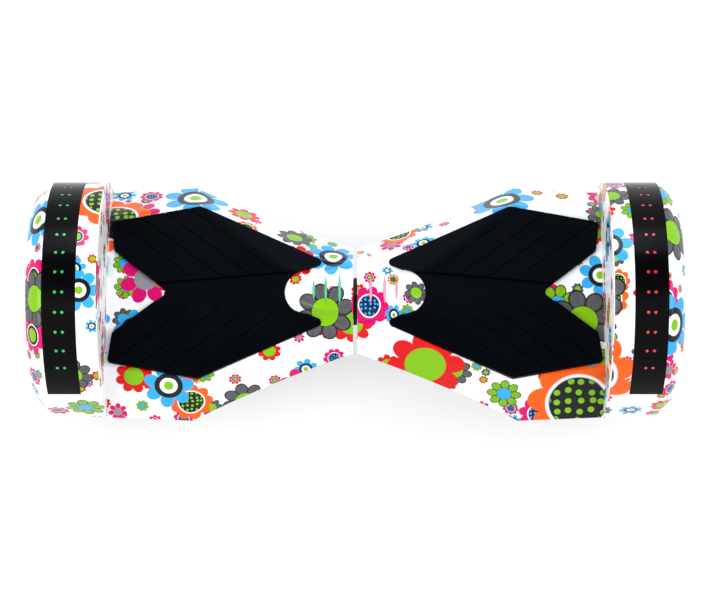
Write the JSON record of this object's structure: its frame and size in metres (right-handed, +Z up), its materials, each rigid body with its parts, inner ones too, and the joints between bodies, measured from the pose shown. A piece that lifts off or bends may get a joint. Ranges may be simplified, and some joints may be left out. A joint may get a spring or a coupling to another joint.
{
  "type": "self balancing hoverboard",
  "caption": "Two-wheeled self-balancing board: two flower-printed halves that twist on a pivot, rubber foot pads, lit fenders over hub-motor wheels.",
  "frame": {"origin": "on the ground, under the middle joint, at the centre of the board's length and depth", "axes": "+X along the wheel axis to the right half, -Y to the front, +Z up"},
  "size_m": [0.637, 0.247, 0.218],
  "materials": {
    "printed_shell": "glossy white with a flower print",
    "black_shell": "glossy black",
    "pad_rubber": "matt moulded rubber",
    "nylon": "moulded",
    "strip_plastic": "semi-gloss black",
    "gill_green": "translucent",
    "gill_red": "translucent",
    "dot_green": "lit diode",
    "dot_red": "lit diode",
    "clear_lens": "clear polycarbonate",
    "circuit_board": "solder-mask green",
    "cast_alloy": "as cast",
    "black_steel": "black oxide",
    "black_nylon": "moulded",
    "steel": "ground",
    "stator_iron": "laminated",
    "copper": "enamelled wire",
    "tyre_rubber": "solid rubber",
    "wheel_alloy": "machined",
    "magnet_steel": "plated",
    "hub_paint": "satin black",
    "bronze": "sintered",
    "seal_rubber": "matt",
    "battery_wrap": "shrink wrap",
    "bright_metal": "plated"
  },
  "bodies": {
    "left_half": {"top_shell_left": "printed_shell", "bottom_shell_left": "black_shell", "fender_strip_left": "strip_plastic", "fender_dots_left": "dot_green", "gill_lights_left": "gill_green", "headlight_lens_left": "clear_lens", "headlight_board_left": "circuit_board", "chassis_left": "cast_alloy", "axle_clamp_left": "cast_alloy", "clamp_screws_left": "black_steel", "shell_screws_left": "black_steel", "sensor_board_left": "circuit_board", "axle_left": "steel", "stator_left": "stator_iron", "windings_left": "copper", "pivot_tube": "steel", "pivot_seal": "seal_rubber", "retaining_ring": "steel", "limit_pin": "steel", "battery_pack": "battery_wrap", "power_switch": "bright_metal", "charge_socket": "bright_metal"},
    "left_wheel": {"tyre_left": "tyre_rubber", "wheel_rim_left": "wheel_alloy", "magnets_left": "magnet_steel", "hub_cover_outer_left": "hub_paint", "hub_cover_inner_left": "hub_paint", "hub_bearings_left": "steel", "hub_screws_left": "steel"},
    "left_pad": {"foot_pad_left": "pad_rubber", "pad_plungers_left": "nylon"},
    "right_half": {"top_shell_right": "printed_shell", "bottom_shell_right": "black_shell", "fender_strip_right": "strip_plastic", "fender_dots_right": "dot_red", "gill_lights_right": "gill_red", "headlight_lens_right": "clear_lens", "headlight_board_right": "circuit_board", "chassis_right": "cast_alloy", "axle_clamp_right": "cast_alloy", "clamp_screws_right": "black_steel", "shell_screws_right": "black_steel", "sensor_board_right": "circuit_board", "axle_right": "steel", "stator_right": "stator_iron", "windings_right": "copper", "pivot_bushes": "bronze", "control_board": "circuit_board", "speaker": "black_nylon"},
    "right_wheel": {"tyre_right": "tyre_rubber", "wheel_rim_right": "wheel_alloy", "magnets_right": "magnet_steel", "hub_cover_outer_right": "hub_paint", "hub_cover_inner_right": "hub_paint", "hub_bearings_right": "steel", "hub_screws_right": "steel"},
    "right_pad": {"foot_pad_right": "pad_rubber", "pad_plungers_right": "nylon"},
    "power_button": {"power_button": "bright_metal"},
    "charge_cap": {"charge_cap": "seal_rubber"}
  },
  "joints": [
    {"name": "half_twist", "type": "hinge", "parent": "left_half", "child": "right_half", "pos_m": [0, 0, 0.088], "axis": [1, 0, 0], "range_deg": [-12, 12]},
    {"name": "left_wheel_spin", "type": "hinge", "parent": "left_half", "child": "left_wheel", "pos_m": [-0.28475, 0, 0.102], "axis": [1, 0, 0], "continuous": true},
    {"name": "left_pad_press", "type": "slide", "parent": "left_half", "child": "left_pad", "axis": [0, 0, -1], "range_m": [0, 0.0015], "stiffness_N_per_m": 12000, "springref_m": -0.0003},
    {"name": "right_wheel_spin", "type": "hinge", "parent": "right_half", "child": "right_wheel", "pos_m": [0.28475, 0, 0.102], "axis": [1, 0, 0], "continuous": true},
    {"name": "right_pad_press", "type": "slide", "parent": "right_half", "child": "right_pad", "axis": [0, 0, -1], "range_m": [0, 0.0015], "stiffness_N_per_m": 12000, "springref_m": -0.0003},
    {"name": "button_press", "type": "slide", "parent": "left_half", "child": "power_button", "axis": [0, -1, 0], "range_m": [0, 0.0014], "stiffness_N_per_m": 1200, "springref_m": -0.001},
    {"name": "cap_swing", "type": "hinge", "parent": "left_half", "child": "charge_cap", "pos_m": [-0.0802, 0.07876, 0.0592], "axis": [1, 0, 0], "range_deg": [0, 180]}
  ]
}
